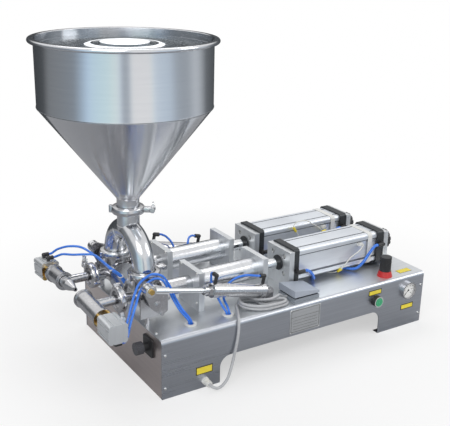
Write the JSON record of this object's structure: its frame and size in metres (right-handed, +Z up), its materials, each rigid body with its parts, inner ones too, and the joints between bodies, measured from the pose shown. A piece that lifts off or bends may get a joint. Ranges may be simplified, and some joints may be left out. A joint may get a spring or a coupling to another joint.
{
  "type": "double head paste filling machine",
  "caption": "Semi-automatic pneumatic paste filler: one conical hopper feeds two side-by-side piston heads with rotary valves, swivel nozzles and a foot switch.",
  "frame": {"origin": "centre of the base's underside, on the table", "axes": "+X along the base from the nozzles to the gauge end, +Y across it away from the operator's side, +Z up"},
  "size_m": [1.0049, 0.4936, 0.799],
  "materials": {
    "sheet_steel": "brushed stainless sheet",
    "polished_steel": "polished stainless steel",
    "steel": "machined stainless steel",
    "chrome": "hard chromed and ground",
    "zinc": "zinc plated screws",
    "lid_steel": "bright spun stainless steel",
    "alu_plate": "milled and clear anodised",
    "alu_barrel": "clear anodised extrusion",
    "alu_cap": "dark anodised casting",
    "gasket": "white silicone",
    "seal": "white PTFE",
    "black_plastic": "moulded",
    "grey_plastic": "moulded",
    "dark_plastic": "moulded",
    "red_plastic": "moulded",
    "green_plastic": "moulded",
    "white_plastic": "moulded",
    "pedal_paint": "light grey enamel",
    "tray_paint": "dark grey enamel",
    "needle": "black enamel",
    "hose_blue": "polyurethane tube",
    "cable_grey": "PVC sheath",
    "lead_white": "PVC sheath"
  },
  "bodies": {
    "base": {"base_cover": "sheet_steel", "end_panels": "sheet_steel", "screws": "zinc", "hopper": "polished_steel", "manifold": "polished_steel", "tri_clamps": "steel", "clamp_gaskets": "gasket", "cylinder_plates": "alu_plate", "paste_cylinders": "polished_steel", "near_air_barrel": "alu_barrel", "far_air_barrel": "alu_barrel", "air_caps": "alu_cap", "near_valve_body": "steel", "far_valve_body": "steel", "valve_brackets": "steel", "flow_fittings": "dark_plastic", "cylinder_sensors": "white_plastic", "button_housing": "grey_plastic", "regulator_body": "red_plastic", "gauge_case": "chrome", "inlet_valve": "black_plastic", "foot_switch_base": "tray_paint", "glands": "white_plastic", "solenoid_valves": "dark_plastic", "control_box": "grey_plastic", "air_hoses": "hose_blue", "flex_hoses": "hose_blue", "sensor_leads": "lead_white", "foot_cable": "cable_grey"},
    "hopper_lid": {"hopper_lid": "lid_steel"},
    "hopper_wing_nut": {"hopper_wing_nut": "steel"},
    "near_nozzle_wing_nut": {"near_nozzle_wing_nut": "steel"},
    "far_nozzle_wing_nut": {"far_nozzle_wing_nut": "steel"},
    "near_piston": {"near_paste_piston": "seal", "near_piston_rod": "chrome"},
    "near_stop_screw": {"near_stop_screw": "zinc"},
    "near_handwheel": {"near_handwheel": "black_plastic"},
    "near_crank": {"near_valve_spool": "steel", "near_crank": "steel"},
    "near_turn_cylinder": {"near_turn_cylinder": "steel"},
    "near_turn_rod": {"near_turn_rod": "chrome"},
    "near_nozzle": {"near_nozzle_body": "steel", "near_nozzle_cylinder": "alu_plate"},
    "near_plunger": {"near_nozzle_plunger": "seal"},
    "far_piston": {"far_paste_piston": "seal", "far_piston_rod": "chrome"},
    "far_stop_screw": {"far_stop_screw": "zinc"},
    "far_handwheel": {"far_handwheel": "black_plastic"},
    "far_crank": {"far_valve_spool": "steel", "far_crank": "steel"},
    "far_turn_cylinder": {"far_turn_cylinder": "steel"},
    "far_turn_rod": {"far_turn_rod": "chrome"},
    "far_nozzle": {"far_nozzle_body": "steel", "far_nozzle_cylinder": "alu_plate"},
    "far_plunger": {"far_nozzle_plunger": "seal"},
    "push_button": {"push_button": "green_plastic"},
    "regulator_knob": {"regulator_knob": "black_plastic"},
    "gauge_needle": {"gauge_needle": "needle"},
    "inlet_knob": {"inlet_knob": "dark_plastic"},
    "foot_pedal": {"foot_pedal": "pedal_paint"}
  },
  "joints": [
    {"name": "hopper_lid_lift", "type": "slide", "parent": "base", "child": "hopper_lid", "axis": [0, 0, 1], "range_m": [0, 0.12]},
    {"name": "hopper_wing_nut_turn", "type": "hinge", "parent": "base", "child": "hopper_wing_nut", "pos_m": [-0.33319, -0.0317, 0.396], "axis": [0.5446, 0.8387, 0], "continuous": true},
    {"name": "near_nozzle_wing_nut_turn", "type": "hinge", "parent": "base", "child": "near_nozzle_wing_nut", "pos_m": [-0.448, -0.09607, 0.16383], "axis": [0, 0.9397, -0.342], "continuous": true},
    {"name": "far_nozzle_wing_nut_turn", "type": "hinge", "parent": "base", "child": "far_nozzle_wing_nut", "pos_m": [-0.448, 0.12417, 0.22407], "axis": [0, -0.342, 0.9397], "continuous": true},
    {"name": "near_piston_stroke", "type": "slide", "parent": "base", "child": "near_piston", "axis": [-1, 0, 0], "range_m": [0, 0.13]},
    {"name": "near_stop_slide", "type": "slide", "parent": "base", "child": "near_stop_screw", "axis": [1, 0, 0], "range_m": [0, 0.0138]},
    {"name": "near_handwheel_turn", "type": "hinge", "parent": "near_stop_screw", "child": "near_handwheel", "pos_m": [0.376, -0.08, 0.208], "axis": [1, 0, 0], "range_deg": [0, 1250]},
    {"name": "near_valve_turn", "type": "hinge", "parent": "base", "child": "near_crank", "pos_m": [-0.382, -0.14, 0.208], "axis": [0, 1, 0], "range_deg": [0, 90], "deforming": ["flex_hoses"]},
    {"name": "near_turn_cylinder_tilt", "type": "hinge", "parent": "base", "child": "near_turn_cylinder", "pos_m": [-0.08, -0.16, 0.18], "axis": [0, 1, 0], "range_deg": [-1, 0.1]},
    {"name": "near_turn_rod_slide", "type": "slide", "parent": "near_turn_cylinder", "child": "near_turn_rod", "axis": [0.977, 0, -0.213], "range_m": [0, 0.071]},
    {"name": "near_nozzle_swivel", "type": "hinge", "parent": "base", "child": "near_nozzle", "pos_m": [-0.448, -0.08, 0.208], "axis": [1, 0, 0], "range_deg": [-92, 0], "deforming": ["flex_hoses"]},
    {"name": "near_plunger_lift", "type": "slide", "parent": "near_nozzle", "child": "near_plunger", "axis": [0, -0.9994, -0.0349], "range_m": [0, 0.01]},
    {"name": "far_piston_stroke", "type": "slide", "parent": "base", "child": "far_piston", "axis": [-1, 0, 0], "range_m": [0, 0.13]},
    {"name": "far_stop_slide", "type": "slide", "parent": "base", "child": "far_stop_screw", "axis": [1, 0, 0], "range_m": [0, 0.0138]},
    {"name": "far_handwheel_turn", "type": "hinge", "parent": "far_stop_screw", "child": "far_handwheel", "pos_m": [0.376, 0.08, 0.208], "axis": [1, 0, 0], "range_deg": [0, 1250]},
    {"name": "far_valve_turn", "type": "hinge", "parent": "base", "child": "far_crank", "pos_m": [-0.382, 0.14, 0.208], "axis": [0, 1, 0], "range_deg": [0, 90], "deforming": ["flex_hoses"]},
    {"name": "far_turn_cylinder_tilt", "type": "hinge", "parent": "base", "child": "far_turn_cylinder", "pos_m": [-0.08, 0.16, 0.18], "axis": [0, 1, 0], "range_deg": [-1, 0.1]},
    {"name": "far_turn_rod_slide", "type": "slide", "parent": "far_turn_cylinder", "child": "far_turn_rod", "axis": [0.977, 0, -0.213], "range_m": [0, 0.071]},
    {"name": "far_nozzle_swivel", "type": "hinge", "parent": "base", "child": "far_nozzle", "pos_m": [-0.448, 0.08, 0.208], "axis": [1, 0, 0], "range_deg": [0, 94.5], "deforming": ["flex_hoses"]},
    {"name": "far_plunger_lift", "type": "slide", "parent": "far_nozzle", "child": "far_plunger", "axis": [0, 0.9969, -0.0785], "range_m": [0, 0.01]},
    {"name": "push_button_press", "type": "slide", "parent": "base", "child": "push_button", "axis": [0, 1, 0], "range_m": [0, 0.003], "stiffness_N_per_m": 700},
    {"name": "regulator_knob_turn", "type": "hinge", "parent": "base", "child": "regulator_knob", "pos_m": [0.293, -0.187, 0.165], "axis": [0, 0, 1], "range_deg": [-360, 720]},
    {"name": "gauge_needle_turn", "type": "hinge", "parent": "base", "child": "gauge_needle", "pos_m": [0.352, -0.223, 0.107], "axis": [0, 1, 0], "range_deg": [0, 270]},
    {"name": "inlet_knob_turn", "type": "hinge", "parent": "base", "child": "inlet_knob", "pos_m": [-0.43, -0.157, 0.112], "axis": [-1, 0, 0], "range_deg": [0, 720]},
    {"name": "foot_pedal_press", "type": "hinge", "parent": "base", "child": "foot_pedal", "pos_m": [0.041, -0.174, 0.167], "axis": [0, -1, 0], "range_deg": [0, 3], "stiffness_Nm_per_rad": 40}
  ],
  "couplings": [
    {"joint": "near_handwheel_turn", "follows": "near_stop_slide", "rad_per_m": 1570.8},
    {"joint": "near_turn_cylinder_tilt", "follows": "near_valve_turn", "ratio": -0.00802},
    {"joint": "near_turn_rod_slide", "follows": "near_valve_turn", "m_per_rad": 0.044952},
    {"joint": "far_handwheel_turn", "follows": "far_stop_slide", "rad_per_m": 1570.8},
    {"joint": "far_turn_cylinder_tilt", "follows": "far_valve_turn", "ratio": -0.00802},
    {"joint": "far_turn_rod_slide", "follows": "far_valve_turn", "m_per_rad": 0.044952}
  ]
}
